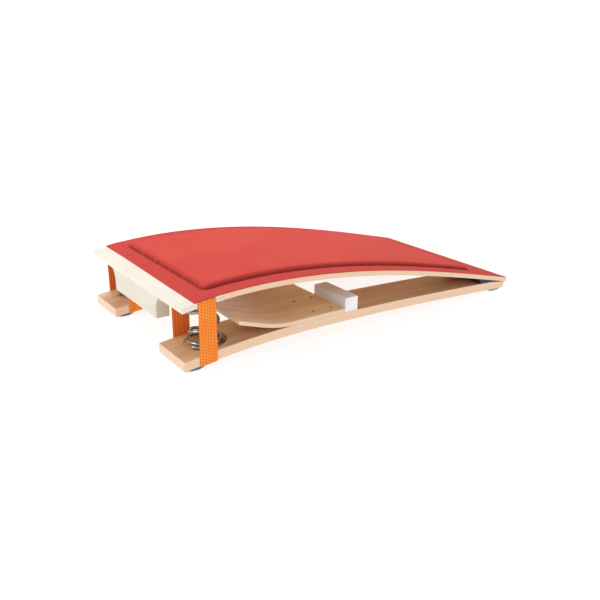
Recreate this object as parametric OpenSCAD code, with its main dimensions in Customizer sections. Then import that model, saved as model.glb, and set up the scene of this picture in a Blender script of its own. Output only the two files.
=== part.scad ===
// Sprung vaulting board: an arched deck on two arched runners.
// X runs along the board (take-off end at -X, run-up end at +X), Y across it, Z up.
// The origin is on the floor, under the middle of the board. Left is -Y, right is +Y.

/* [Board] */
// Length of the deck
board_len = 1200; // [1000:10:1440]
// Width of the deck and of the pair of runners
board_w = 600; // [500:10:720]
// Thickness of the deck, measured upright
deck_t = 14.6; // [12:0.1:18]
// Height of the deck's top at its take-off end
nose_h = 170.9; // [150:0.1:200]
// Slope of the deck at its take-off end (rise over run)
nose_slope = 0.175; // [0.1:0.005:0.2]
// Height of the deck's top at its crest
crest_h = 190.7; // [172:0.1:225]
// Distance of the crest from the take-off end
crest_from_nose = 245; // [200:5:290]
// Height of the deck's top at its run-up end
tail_h = 36.2; // [34:0.1:45]
// Slope of the deck at its run-up end (fall over run)
tail_slope = 0.242; // [0.2:0.002:0.26]

/* [End plate and nose block] */
// Length of the smooth plate that forms the take-off end of the deck
plate_len = 113; // [105:1:130]
// Thickness of the tongue that joins the deck to the plate
tongue_t = 5; // [4:0.5:6]
// Length of that tongue
tongue_len = 18; // [12:1:22]
// Width of the nose block at its bottom
nose_block_w = 276; // [200:2:286]
// Length of the nose block along the board
nose_block_len = 38; // [30:1:38]
// Height of the nose block below the plate
nose_block_h = 65; // [50:1:70]
// Radius of the cove between the nose block and the plate
nose_cove_r = 45; // [20:1:54]
// Distance of the nose block from the end of the plate
nose_block_inset = 3; // [1:0.5:3]

/* [Runners] */
// Width of one runner
runner_w = 150; // [130:1:160]
// Thickness of a runner, measured upright
runner_t = 26; // [22:0.5:32]
// Height of the arch under the runners
arch_h = 30.5; // [28:0.5:37]
// Distance of the highest point of the arch from the take-off end
arch_from_nose = 410; // [380:10:440]
// Height of the runner's underside at the foot
foot_h = 1.5; // [1:0.5:3]
// Slope of the runner's underside at the foot
foot_slope = 0.15; // [0.12:0.01:0.16]
// Height of the runner's underside at its run-up end
heel_h = 4; // [3:0.5:6]
// Slope of the runner's underside at its run-up end
heel_slope = 0.05; // [0.03:0.01:0.06]
// How far the deck overhangs the runners at the run-up end
heel_inset = 10; // [5:1:20]
// Length of the bevel on top of the runner at its run-up end
heel_bevel_len = 69; // [50:1:75]
// Radius of the runner's corners at its run-up end
heel_r = 7; // [3:0.5:9]

/* [Springs] */
// Distance of the springs from the take-off end
spring_from_nose = 98; // [96:1:110]
// Distance of the springs from the outer edge of the runner
spring_from_edge = 76; // [70:1:85]
// Diameter of the spring wire
wire_d = 9; // [7:0.5:11]
// Radius of the lowest turn, to the middle of the wire
coil_r_low = 49.5; // [44:0.5:52]
// Radius of the highest turn, to the middle of the wire
coil_r_high = 35; // [30:0.5:38]
// Depth of the round seat cut into the runner
seat_depth = 8; // [5:0.5:11]
// Depth of the round seat cut into the underside of the deck
upper_seat_depth = 2.5; // [1.5:0.5:4]
// How far the top of a spring leans towards the take-off end
coil_lean = 8; // [0:1:10]

/* [Leaf spring and bump blocks] */
// Distance of the leaf's free tip from the take-off end
leaf_tip_from_nose = 157; // [140:1:180]
// Distance of the leaf's fixed end from the take-off end
leaf_root_from_nose = 504; // [470:1:540]
// Distance from the take-off end at which the leaf lifts off the runners
leaf_lift_from_nose = 330; // [310:1:350]
// Thickness of the leaf, measured upright
leaf_t = 11.5; // [9:0.5:14]
// Slope of the leaf's straight part
leaf_slope = 0.32; // [0.2:0.01:0.35]
// Length over which the leaf bends up
leaf_bend_len = 105; // [80:5:120]
// Length of a bump block along the board
block_len = 45; // [30:1:60]
// Height of a bump block
block_h = 42; // [30:1:50]

/* [Wedges and hinge bolts] */
// Distance of the hinge bolts from the run-up end
hinge_from_tail = 107; // [100:1:120]
// Length of the top of a rubber wedge
wedge_top_len = 66; // [50:1:76]
// Length of the bottom of a rubber wedge
wedge_bottom_len = 36; // [24:1:44]
// Radius of the hinge bolts
bolt_r = 4; // [3:0.5:5]
// Distance between the two hinge bolts of one runner
bolt_pitch = 80; // [60:5:90]
// Room for the deck to rock about the hinge bolts, all round them
rock_gap = 2.5; // [2:0.25:4]

/* [Straps] */
// Width of the webbing
strap_w = 50; // [40:1:60]
// Thickness of the webbing
strap_t = 2.5; // [1.5:0.25:3.5]
// Distance of the middle of a strap from the take-off end
strap_from_nose = 67; // [66:1:72]

/* [Cover and pad] */
// Distance of the cover from the take-off end
cover_from_nose = 34; // [28:1:38]
// Thickness of the cover's flat border
border_t = 2; // [1.5:0.25:4]
// Width of the border along the sides and at the take-off end
border_w = 52; // [40:1:60]
// Width of the border at the run-up end
border_w_tail = 122; // [110:1:140]
// Height of the padded part above the deck
pad_h = 10; // [7:0.5:14]
// Thickness of the fabric over the foam
fabric_t = 1; // [0.5:0.25:1.5]
// How far the cover stays back from the deck's edges
cover_setback = 1; // [0.5:0.5:3]

/* [Floor pads] */
// Distance of the foot pads from the take-off end
foot_pad_from_nose = 28; // [26:1:34]
// Radius of the curved underside of a foot pad
foot_pad_r = 60; // [50:1:70]
// Distance of the heel pads from the run-up end
heel_pad_from_tail = 57; // [50:1:65]
// Radius of the curved underside of a heel pad
heel_pad_r = 70; // [60:1:80]
// Depth of the flat band that the pads rest on, cut off the curve
pad_flat = 0.8; // [0.4:0.1:1]

/* [Screws] */
// Radius of the wood screws
screw_r = 3; // [2:0.25:3.5]
// Radius of their countersunk heads
screw_head_r = 5.8; // [4.5:0.1:7]
// Depth of their heads
screw_head_t = 3.5; // [2:0.25:4]
// Depth that a screw bites into the second piece
screw_bite = 17; // [12:1:19]
// Distance of the outer screws from the edge of the board
screw_from_edge = 30; // [24:1:36]
// Distance between the screws across the board
screw_pitch_y = 97; // [80:1:100]
// Distance between the screws along the board
screw_pitch_x = 63; // [50:1:70]
// Distance of the first screws from the fixed end of the leaf
screw_from_root = 27; // [20:1:35]

/* [Hidden] */

// Colours
beech = [0.85, 0.68, 0.52];
cream = [0.95, 0.92, 0.84];
red = [0.82, 0.3, 0.28];
orange = [0.95, 0.5, 0.18];
steel = [0.75, 0.76, 0.78];
rubber = [0.16, 0.16, 0.17];
white = [0.93, 0.93, 0.92];
foam = [0.3, 0.3, 0.32];

// Places along the board
nose_x = -board_len / 2;
tail_x = board_len / 2;
crest_x = nose_x + crest_from_nose;
plate_x = nose_x + plate_len;
arch_x = nose_x + arch_from_nose;
heel_x = tail_x - heel_inset;
spring_x = nose_x + spring_from_nose;
leaf_tip_x = nose_x + leaf_tip_from_nose;
leaf_root_x = nose_x + leaf_root_from_nose;
leaf_lift_x = nose_x + leaf_lift_from_nose;
hinge_x = tail_x - hinge_from_tail;
strap_x = nose_x + strap_from_nose;
cover_x = nose_x + cover_from_nose;
foot_pad_x = nose_x + foot_pad_from_nose;
heel_pad_x = tail_x - heel_pad_from_tail;

// Places across the board
side_y = board_w / 2;
inner_y = side_y - runner_w;
runner_y = side_y - runner_w / 2;
spring_y = side_y - spring_from_edge;

// Clearances
fit_gap = 0.1;  // round a screw, a bolt, a tongue
soft_gap = 0.3;  // between a soft or springy piece and its neighbours
past = 50;  // how far a cutter runs past the piece it cuts

// The curves are followed in straight steps of this length, the same for every piece, so faces meet exactly.
curve_step = 25;

// Height on a cubic curve from (x0, z0) with slope s0 to (x1, z1) with slope s1.
function cubic(x, x0, z0, s0, x1, z1, s1) =
    let (span = x1 - x0, u = (x - x0) / span)
    z0 * (1 + 2 * u) * pow(1 - u, 2) + z1 * u * u * (3 - 2 * u)
    + span * u * (1 - u) * (s0 * (1 - u) - s1 * u);

// The deck's top and the runners' underside: two cubic curves each, level where they join.
function deck_curve(x) = x < crest_x
    ? cubic(x, nose_x, nose_h, nose_slope, crest_x, crest_h, 0)
    : cubic(x, crest_x, crest_h, 0, tail_x, tail_h, -tail_slope);
function arch_curve(x) = x < arch_x
    ? cubic(x, nose_x, foot_h, foot_slope, arch_x, arch_h, 0)
    : cubic(x, arch_x, arch_h, 0, heel_x, heel_h, -heel_slope);

// A curve's height at x, on the straight steps.
function stepped(curve, x) =
    let (a = nose_x + curve_step * floor((x - nose_x) / curve_step), u = (x - a) / curve_step)
    curve(a) * (1 - u) + curve(a + curve_step) * u;

// The places along the board at which a piece from a to b has its corners.
function stations(a, b) =
    let (first = ceil((a - nose_x) / curve_step + 0.01), last = floor((b - nose_x) / curve_step - 0.01))
    concat([a], [for (i = [first:1:last]) nose_x + i * curve_step], [b]);

deck_top = function (x) stepped(function (s) deck_curve(s), x);
deck_under = function (x) deck_top(x) - deck_t;
runner_under = function (x) stepped(function (s) arch_curve(s), x);
runner_top = function (x) runner_under(x) + runner_t;

// Underside of the leaf: on the runners, then bending up into a straight slope.
function leaf_rise(d) = leaf_slope
    * (d < leaf_bend_len ? d * d / (2 * leaf_bend_len) : d - leaf_bend_len / 2);
leaf_under = function (x) x < leaf_lift_x
    ? runner_top(leaf_lift_x) + leaf_rise(leaf_lift_x - x)
    : runner_top(x);

// Slope of the deck over the springs
spring_slope = (deck_top(spring_x + curve_step) - deck_top(spring_x - curve_step)) / (2 * curve_step);

// A plate that follows a low and a high curve from xa to xb and runs from ya to yb across the board.
module slab(xa, xb, ya, yb, low, high) {
    xs = stations(xa, xb);
    upper = [for (x = xs) [x, high(x)]];
    lower = [for (i = [len(xs) - 1:-1:0]) [xs[i], low(xs[i])]];
    translate([0, yb, 0])
        rotate([90, 0, 0])
            linear_extrude(yb - ya)
                polygon(concat(upper, lower));
}

// A curve moved up by dz.
function raised(curve, dz) = function (x) curve(x) + dz;

// A pair of pieces, one on each side: side is -1 for the left and 1 for the right.
module on_side(side) {
    if (side > 0) {
        mirror([0, 1, 0]) children();
    } else {
        children();
    }
}

module both_sides() {
    for (side = [-1, 1]) {
        on_side(side) children();
    }
}

/* Screws and bolts */

// A countersunk screw with its head's top at the origin and its point towards -Z, grown by gap all round.
module screw(length, gap = 0) {
    translate([0, 0, -screw_head_t - gap])
        cylinder(r1 = screw_r + gap, r2 = screw_head_r + gap, h = screw_head_t + gap, $fn = 32);
    translate([0, 0, -length - gap])
        cylinder(r = screw_r + gap, h = length - screw_head_t + gap, $fn = 32);
}

// Places of the leaf's screws on the left runner
leaf_screw_places = [
    for (i = [0, 1], j = [0, 1])
        [leaf_root_x - screw_from_root - i * screw_pitch_x, -side_y + screw_from_edge + j * screw_pitch_y]
];
screw_sink = 0.3;  // how far the heads lie below the surface

module leaf_screw_set(gap) {
    for (p = leaf_screw_places) {
        translate([p[0], p[1], leaf_under(p[0]) + leaf_t - screw_sink]) screw(leaf_t + screw_bite, gap);
        if (gap > 0) {
            translate([p[0], p[1], leaf_under(p[0]) + leaf_t - screw_sink - fit_gap])
                cylinder(r = screw_head_r + gap, h = leaf_t, $fn = 32);
        }
    }
}

block_x = leaf_root_x + block_len / 2;
block_screw_pitch = runner_w * 0.6;

module block_screw_set(gap) {
    for (dy = [-block_screw_pitch / 2, block_screw_pitch / 2]) {
        translate([block_x, -runner_y + dy, runner_under(block_x) + screw_sink]) {
            rotate([180, 0, 0]) screw(runner_t + screw_bite, gap);
            if (gap > 0) {
                translate([0, 0, -runner_t + fit_gap])
                    cylinder(r = screw_head_r + gap, h = runner_t, $fn = 32);
            }
        }
    }
}

// Hinge bolts: a flat head let into the deck, a washer and a nut let into the runner.
hinge_places = [for (dy = [-bolt_pitch / 2, bolt_pitch / 2]) [hinge_x, -runner_y + dy]];
head_r = 2 * bolt_r;
head_t = 3.5;
head_wood = 7.5;  // wood left under the head
nut_wood = 12;  // wood left above the washer
washer_r = 3 * bolt_r;
washer_t = 1.6;
nut_flats = 3.25 * bolt_r;
nut_t = 1.75 * bolt_r;
thread_past_nut = 1.5;
washer_play = 1.2;  // room between the washer and the wood, for the rocking deck
head_z = deck_under(hinge_x) + head_wood;
washer_z = runner_top(hinge_x) - nut_wood - washer_play - washer_t;
nut_z = washer_z - nut_t;

module at_hinge_bolts() {
    for (p = hinge_places) {
        translate([p[0], p[1], 0]) children();
    }
}

/* Base */

seat_r = coil_r_low + wire_d / 2 + 3;
seat_z = runner_top(spring_x) - seat_depth;
heel_drop_z = deck_under(heel_x) - soft_gap;  // height of the runner's top at its very end

// The left runner: an arched ply plank with the spring seat, screw holes and bolt holes.
module runner() {
    color(beech)
        difference() {
            slab(nose_x, heel_x, -side_y, -inner_y, runner_under, runner_top);
            heel_bevel();
            heel_corner();
            translate([spring_x, -spring_y, seat_z]) cylinder(r = seat_r, h = past, $fn = 96);
            leaf_screw_set(fit_gap);
            block_screw_set(fit_gap);
            at_hinge_bolts() {
                cylinder(r = bolt_r + rock_gap, h = past, $fn = 48);
                translate([0, 0, runner_top(hinge_x) - nut_wood - past])
                    cylinder(r = washer_r + rock_gap, h = past, $fn = 48);
            }
        }
}

// Cutter for the bevel under the end of the deck
module heel_bevel() {
    start_x = heel_x - heel_bevel_len;
    start_z = runner_top(start_x);
    end_z = start_z + (heel_drop_z - start_z) * (heel_bevel_len + past) / heel_bevel_len;
    translate([0, past, 0])
        rotate([90, 0, 0])
            linear_extrude(board_w)
                polygon([[start_x, start_z], [heel_x + past, end_z], [heel_x + past, start_z + past],
                    [start_x, start_z + past]]);
}

// Cutter that rounds the lower corner at the run-up end
module heel_corner() {
    translate([heel_x - heel_r, past, heel_h + heel_r])
        rotate([90, 0, 0])
            linear_extrude(board_w)
                difference() {
                    translate([0, -past]) square([past, past]);
                    circle(r = heel_r, $fn = 48);
                }
}

// The full-width ply leaf, screwed to both runners, with its free end under the take-off end.
module leaf_spring() {
    color(beech)
        difference() {
            slab(leaf_tip_x, leaf_root_x, -side_y, side_y, leaf_under, raised(leaf_under, leaf_t));
            both_sides() leaf_screw_set(fit_gap);
        }
}

module leaf_screws() {
    color(steel) both_sides() leaf_screw_set(0);
}

module bump_block() {
    color(white)
        difference() {
            slab(leaf_root_x, leaf_root_x + block_len, -side_y, -inner_y, runner_top,
                function (x) runner_top(leaf_root_x) + block_h);
            block_screw_set(fit_gap);
        }
}

module block_screws() {
    color(steel) both_sides() block_screw_set(0);
}

// A rubber pad under a runner: a curved strip with a flat band on the floor, bonded to the wood.
module floor_pad(x, r) {
    color(rubber)
        difference() {
            translate([x, -inner_y, r - pad_flat])
                rotate([90, 0, 0])
                    cylinder(r = r, h = runner_w, $fn = 128);
            slab(x - r - past, x + r + past, -side_y - past, past - inner_y, runner_under,
                raised(runner_under, 3 * r));
            translate([x - r - past, -side_y - past, -past])
                cube([2 * (r + past), runner_w + 2 * past, past]);
            strap_run_below(soft_gap);
        }
}

module foot_pad() {
    floor_pad(foot_pad_x, foot_pad_r);
}

module heel_pad() {
    floor_pad(heel_pad_x, heel_pad_r);
}

// The rubber wedge between deck and runner: longer on top than below, with holes for the hinge bolts.
module wedge() {
    top_a = hinge_x - wedge_top_len / 2;
    top_b = hinge_x + wedge_top_len / 2;
    bottom_a = hinge_x - wedge_bottom_len / 2;
    bottom_b = hinge_x + wedge_bottom_len / 2;
    upper = [for (x = stations(top_a, top_b)) [x, deck_under(x)]];
    lower = [for (x = stations(bottom_a, bottom_b)) [x, runner_top(x)]];
    color(rubber)
        difference() {
            translate([0, -inner_y, 0])
                rotate([90, 0, 0])
                    linear_extrude(runner_w)
                        polygon(concat(upper, [for (i = [len(lower) - 1:-1:0]) lower[i]]));
            at_hinge_bolts() cylinder(r = bolt_r + soft_gap, h = nose_h, $fn = 48);
        }
}

/* Coil springs */

coil_turns = 4.5;
closed_low = 1.46;  // turns that lie close at the bottom
closed_high = 0.65;  // turns that lie close at the top
low_pitch = wire_d * 0.89;
high_pitch = 3;
start_angle = 198;
ring_steps = 20;  // rings in one turn
wire_sides = 8;
coil_low_z = seat_z + soft_gap + wire_d / 2;
coil_high_z = deck_under(spring_x - coil_lean) + upper_seat_depth - soft_gap - wire_d / 2;
active_turns = coil_turns - closed_low - closed_high;
active_rise = coil_high_z - coil_low_z - closed_low * low_pitch - closed_high * high_pitch;

function within_turns(t) = max(0, min(1, t));
function coil_r(t) = coil_r_high + (coil_r_low - coil_r_high) * pow(1 - t / coil_turns, 2);
function coil_lift(t) = within_turns((t - closed_low) / active_turns);
function coil_z(t) = coil_low_z + low_pitch * min(t, closed_low) + active_rise * coil_lift(t)
    + high_pitch * max(0, t - closed_low - active_turns);

// Middle of the wire after t turns: the top turns lie along the sloping deck and lean a little.
function coil_point(t) =
    let (a = start_angle + 360 * t, dx = coil_r(t) * cos(a), share = coil_lift(t))
    [
        spring_x - coil_lean * share + dx,
        -spring_y + coil_r(t) * sin(a),
        coil_z(t) + share * spring_slope * dx
    ];

function unit(v) = v / norm(v);

// A ring of corners round the wire after t turns.
function wire_ring(t) =
    let (
        h = 0.01,
        p = coil_point(t),
        along = unit(coil_point(t + h) - coil_point(t - h)),
        side = unit(cross([0, 0, 1], along)),
        up = cross(along, side)
    )
    [for (k = [0:wire_sides - 1])
        let (b = 360 * (k + 0.5) / wire_sides)
        p + wire_d / 2 * (cos(b) * side + sin(b) * up)];

module coil_spring() {
    rings = round(coil_turns * ring_steps);
    corners = [for (i = [0:rings]) each wire_ring(i / ring_steps)];
    walls = [
        for (i = [0:rings - 1], k = [0:wire_sides - 1])
            let (a = i * wire_sides + k, b = i * wire_sides + (k + 1) % wire_sides)
            [a, a + wire_sides, b + wire_sides, b]
    ];
    first_cap = [for (k = [0:wire_sides - 1]) k];
    last_cap = [for (k = [wire_sides - 1:-1:0]) rings * wire_sides + k];
    color(steel) polyhedron(points = corners, faces = concat([first_cap], walls, [last_cap]));
}

// Cutter for the round seat under the deck, square to the sloping underside
upper_seat_r = coil_r_high + wire_d / 2 + 2;

module upper_seat() {
    seat_x = spring_x - coil_lean;
    translate([seat_x, -spring_y, deck_under(seat_x)])
        rotate([0, -atan(spring_slope), 0])
            translate([0, 0, -upper_seat_depth])
                cylinder(r = upper_seat_r, h = 2 * upper_seat_depth, $fn = 96);
}

/* Straps */

strap_a = strap_x - strap_w / 2;
strap_b = strap_x + strap_w / 2;
strap_out = -side_y - soft_gap;  // outer leg's inner face
strap_in = -inner_y + soft_gap;  // inner leg's outer face
strap_low = raised(runner_under, -soft_gap - strap_t);
strap_high = raised(deck_top, -soft_gap);

// One closed loop of webbing round the foot and the end plate.
module strap() {
    color(orange)
        difference() {
            slab(strap_a, strap_b, strap_out - strap_t, strap_in + strap_t, strap_low, strap_high);
            slab(strap_a - past, strap_b + past, strap_out, strap_in,
                raised(strap_low, strap_t), raised(strap_high, -strap_t));
        }
}

// Cutter for the room that the strap's lower run takes under the foot
module strap_run_below(gap) {
    slab(strap_a - gap, strap_b + gap, -side_y - past, past - inner_y,
        raised(strap_low, -gap), raised(runner_under, past));
}

// Cutter for the shallow groove on top of the deck and the slot that the inner leg goes through
module strap_groove() {
    slab(strap_a - soft_gap, strap_b + soft_gap, -side_y - past, strap_in + strap_t + soft_gap,
        raised(strap_high, -strap_t - soft_gap), raised(strap_high, past));
    slab(strap_a - soft_gap, strap_b + soft_gap, strap_in - soft_gap, strap_in + strap_t + soft_gap,
        raised(deck_under, -nose_block_h - past), raised(deck_top, past));
}

/* Deck */

tongue_low = (deck_t - tongue_t) / 2;

module tongue(gap) {
    slab(plate_x - tongue_len - gap, plate_x + past, -side_y - gap, side_y + gap,
        raised(deck_under, tongue_low - gap), raised(deck_under, tongue_low + tongue_t + gap));
}

// The arched ply deck, with a tongue at the take-off end and bolt holes at the run-up end.
module deck_board() {
    color(beech)
        difference() {
            union() {
                slab(plate_x, tail_x, -side_y, side_y, deck_under, deck_top);
                tongue(0);
            }
            both_sides() {
                upper_seat();
                strap_groove();
                at_hinge_bolts() {
                    cylinder(r = bolt_r + fit_gap, h = nose_h, $fn = 48);
                    translate([0, 0, head_z]) cylinder(r = head_r + fit_gap, h = past, $fn = 48);
                }
            }
        }
}

// The smooth plate at the take-off end.
module end_plate() {
    color(cream)
        difference() {
            slab(nose_x, plate_x, -side_y, side_y, deck_under, deck_top);
            tongue(fit_gap);
            both_sides() {
                upper_seat();
                strap_groove();
            }
        }
}

// The block under the plate, with a cove that widens it where it meets the plate.
module nose_block() {
    xa = nose_x + nose_block_inset;
    xb = xa + nose_block_len;
    half = nose_block_w / 2;
    top_z = deck_under(xb);
    bottom_z = deck_under(xa) - nose_block_h;
    cove = [
        for (a = [180:-10:90])
            [half + nose_cove_r * (1 + cos(a)), top_z - nose_cove_r * (1 - sin(a))]
    ];
    right_half = concat([[half, bottom_z]], cove);
    left_half = [for (i = [len(right_half) - 1:-1:0]) [-right_half[i][0], right_half[i][1]]];
    color(cream)
        difference() {
            translate([xa, 0, 0])
                rotate([90, 0, 90])
                    linear_extrude(nose_block_len)
                        polygon(concat(right_half, left_half));
            slab(xa - past, xb + past, -side_y, side_y, deck_under, raised(deck_under, 2 * past));
            both_sides() strap_groove();
        }
}

/* Cover */

pad_a = cover_x + border_w;
pad_b = tail_x - border_w_tail;
pad_y = side_y - border_w;

module foam_core() {
    slab(pad_a + fabric_t, pad_b - fabric_t, -pad_y + fabric_t, pad_y - fabric_t,
        deck_top, raised(deck_top, pad_h - fabric_t));
}

module foam_pad() {
    color(foam) foam_core();
}

// The fabric cover: a flat border all round and a raised part over the foam.
module cover() {
    color(red)
        difference() {
            union() {
                slab(cover_x, tail_x, -side_y + cover_setback, side_y - cover_setback,
                    deck_top, raised(deck_top, border_t));
                slab(pad_a, pad_b, -pad_y, pad_y, deck_top, raised(deck_top, pad_h));
            }
            foam_core();
        }
}

/* Hinge hardware */

module hinge_bolts() {
    color(steel)
        both_sides()
            at_hinge_bolts() {
                translate([0, 0, nut_z - thread_past_nut])
                    cylinder(r = bolt_r, h = head_z - nut_z + thread_past_nut, $fn = 48);
                translate([0, 0, head_z]) cylinder(r = head_r, h = head_t, $fn = 48);
            }
}

module hinge_washers() {
    color(steel)
        both_sides()
            at_hinge_bolts()
                translate([0, 0, washer_z])
                    difference() {
                        cylinder(r = washer_r, h = washer_t, $fn = 48);
                        translate([0, 0, -washer_t])
                            cylinder(r = bolt_r + fit_gap, h = 3 * washer_t, $fn = 48);
                    }
}

module hinge_nuts() {
    color(steel)
        both_sides()
            at_hinge_bolts()
                translate([0, 0, nut_z])
                    difference() {
                        cylinder(r = nut_flats / 2 / cos(30), h = nut_t, $fn = 6);
                        translate([0, 0, -nut_t])
                            cylinder(r = bolt_r + fit_gap, h = 3 * nut_t, $fn = 48);
                    }
}

on_side(-1) runner();  // runner_left
on_side(1) runner();  // runner_right
leaf_spring();
leaf_screws();
on_side(-1) bump_block();  // bump_block_left
on_side(1) bump_block();  // bump_block_right
block_screws();
on_side(-1) foot_pad();  // foot_pad_left
on_side(1) foot_pad();  // foot_pad_right
on_side(-1) heel_pad();  // heel_pad_left
on_side(1) heel_pad();  // heel_pad_right
on_side(-1) coil_spring();  // coil_spring_left
on_side(1) coil_spring();  // coil_spring_right
on_side(-1) wedge();  // wedge_left
on_side(1) wedge();  // wedge_right
on_side(-1) strap();  // strap_left
on_side(1) strap();  // strap_right
deck_board();
end_plate();
nose_block();
foam_pad();
cover();
hinge_bolts();
hinge_washers();
hinge_nuts();
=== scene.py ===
"""Looks of the gymnastics springboard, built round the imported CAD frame. Metres, in the CAD frame."""
import math

import bmesh
import bpy
import numpy as np
from mathutils import Matrix, Vector


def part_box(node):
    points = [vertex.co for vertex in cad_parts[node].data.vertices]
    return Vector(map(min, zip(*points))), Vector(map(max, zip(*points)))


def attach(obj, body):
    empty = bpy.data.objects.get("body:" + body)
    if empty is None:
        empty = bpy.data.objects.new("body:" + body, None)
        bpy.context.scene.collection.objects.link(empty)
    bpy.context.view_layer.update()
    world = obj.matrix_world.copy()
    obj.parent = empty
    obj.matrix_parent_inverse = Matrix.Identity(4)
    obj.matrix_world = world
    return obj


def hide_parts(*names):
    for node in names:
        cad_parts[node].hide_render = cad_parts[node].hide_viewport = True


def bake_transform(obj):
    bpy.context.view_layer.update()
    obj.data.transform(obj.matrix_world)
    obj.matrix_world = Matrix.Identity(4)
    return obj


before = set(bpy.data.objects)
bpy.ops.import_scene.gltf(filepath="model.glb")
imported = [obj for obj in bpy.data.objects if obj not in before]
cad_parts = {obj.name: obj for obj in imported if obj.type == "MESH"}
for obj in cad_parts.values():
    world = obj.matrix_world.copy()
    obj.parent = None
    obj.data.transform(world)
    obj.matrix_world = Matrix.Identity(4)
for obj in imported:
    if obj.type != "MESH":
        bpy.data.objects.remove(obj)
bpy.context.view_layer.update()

MM = 0.001
TAU = 2 * math.pi
LEFT, RIGHT = -1, 1
SIDES = {"left": LEFT, "right": RIGHT}
WHITE = (1.0, 1.0, 1.0, 1.0)

# ---------------------------------------------------------------- camera

CAMERA_PLACE = (-1.2956, -1.7721, 0.7830)
CAMERA_AZIMUTH = math.radians(-35.97)
CAMERA_ELEVATION = math.radians(21.48)
CAMERA_ROLL = math.radians(0.99)
CAMERA_LENS = 42.89
CAMERA_SENSOR = 36
CAMERA_SHIFT = (-0.0128, 0.030)
CAMERA_CLIP = (0.05, 60)


def make_camera():
    """The scene's camera."""
    data = bpy.data.cameras.new("camera")
    data.lens = CAMERA_LENS
    data.sensor_width = CAMERA_SENSOR
    data.shift_x, data.shift_y = CAMERA_SHIFT
    data.clip_start, data.clip_end = CAMERA_CLIP
    a, e = CAMERA_AZIMUTH, CAMERA_ELEVATION
    back = Vector((math.sin(a) * math.cos(e), -math.cos(a) * math.cos(e), math.sin(e)))
    right = (-back).cross(Vector((0, 0, 1))).normalized()
    up = right.cross(-back)
    turned = math.cos(CAMERA_ROLL) * right + math.sin(CAMERA_ROLL) * up
    up = back.cross(turned)
    axes = Matrix((turned, up, back)).transposed().to_4x4()
    camera = bpy.data.objects.new("camera", data)
    camera.matrix_world = Matrix.Translation(CAMERA_PLACE) @ axes
    bpy.context.scene.collection.objects.link(camera)
    bpy.context.scene.camera = camera


make_camera()

# ---------------------------------------------------------------- curves read from the frame

# how near a corner lies to a plane it belongs to, and how far off the underside one of the upper edge lies
ON_PLANE = 0.2 * MM
OFF_LINE = 8 * MM


def corners(node):
    return np.array([v.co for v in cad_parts[node].data.vertices], float)


def underside(node, y):
    """The (x, z) line of a node's lower long edge at y, without the corners that only the upper edge has."""
    co = corners(node)
    co = co[np.abs(co[:, 1] - y) < ON_PLANE]
    line = {}
    for x, z in np.round(co[:, [0, 2]], 6):
        line[x] = min(z, line.get(x, z))
    xs = np.array(sorted(line))
    zs = np.array([line[x] for x in xs])
    share = (xs[1:-1] - xs[:-2]) / (xs[2:] - xs[:-2])
    between = zs[:-2] + (zs[2:] - zs[:-2]) * share
    keep = np.ones(len(xs), bool)
    keep[1:-1] = zs[1:-1] - between < OFF_LINE
    return xs[keep], zs[keep]


runner_lo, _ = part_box("runner_left")
deck_lo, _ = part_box("deck_board")
plate_lo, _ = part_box("end_plate")
leaf_lo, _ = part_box("leaf_spring")
cover_lo, cover_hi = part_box("cover")
foam_lo, foam_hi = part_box("foam_pad")
strap_lo, strap_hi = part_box("strap_left")

# thicknesses, as in the CAD
RUNNER_T = 26.0 * MM
DECK_T = 14.6 * MM
LEAF_T = 11.5 * MM

runner_line = underside("runner_left", runner_lo.y)
leaf_line = underside("leaf_spring", leaf_lo.y)
cover_line = underside("cover", cover_lo.y)
plate_line = underside("end_plate", plate_lo.y)
deck_line = underside("deck_board", deck_lo.y)
before_deck = plate_line[0] < deck_line[0][0]
under_line = tuple(np.concatenate([plate_line[k][before_deck], deck_line[k]]) for k in (0, 1))


def deck_top(x):
    return np.interp(x, *cover_line)


def runner_under(x):
    return np.interp(x, *runner_line)


def deck_under(x):
    return np.interp(x, *under_line)


# ---------------------------------------------------------------- shader building


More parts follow.
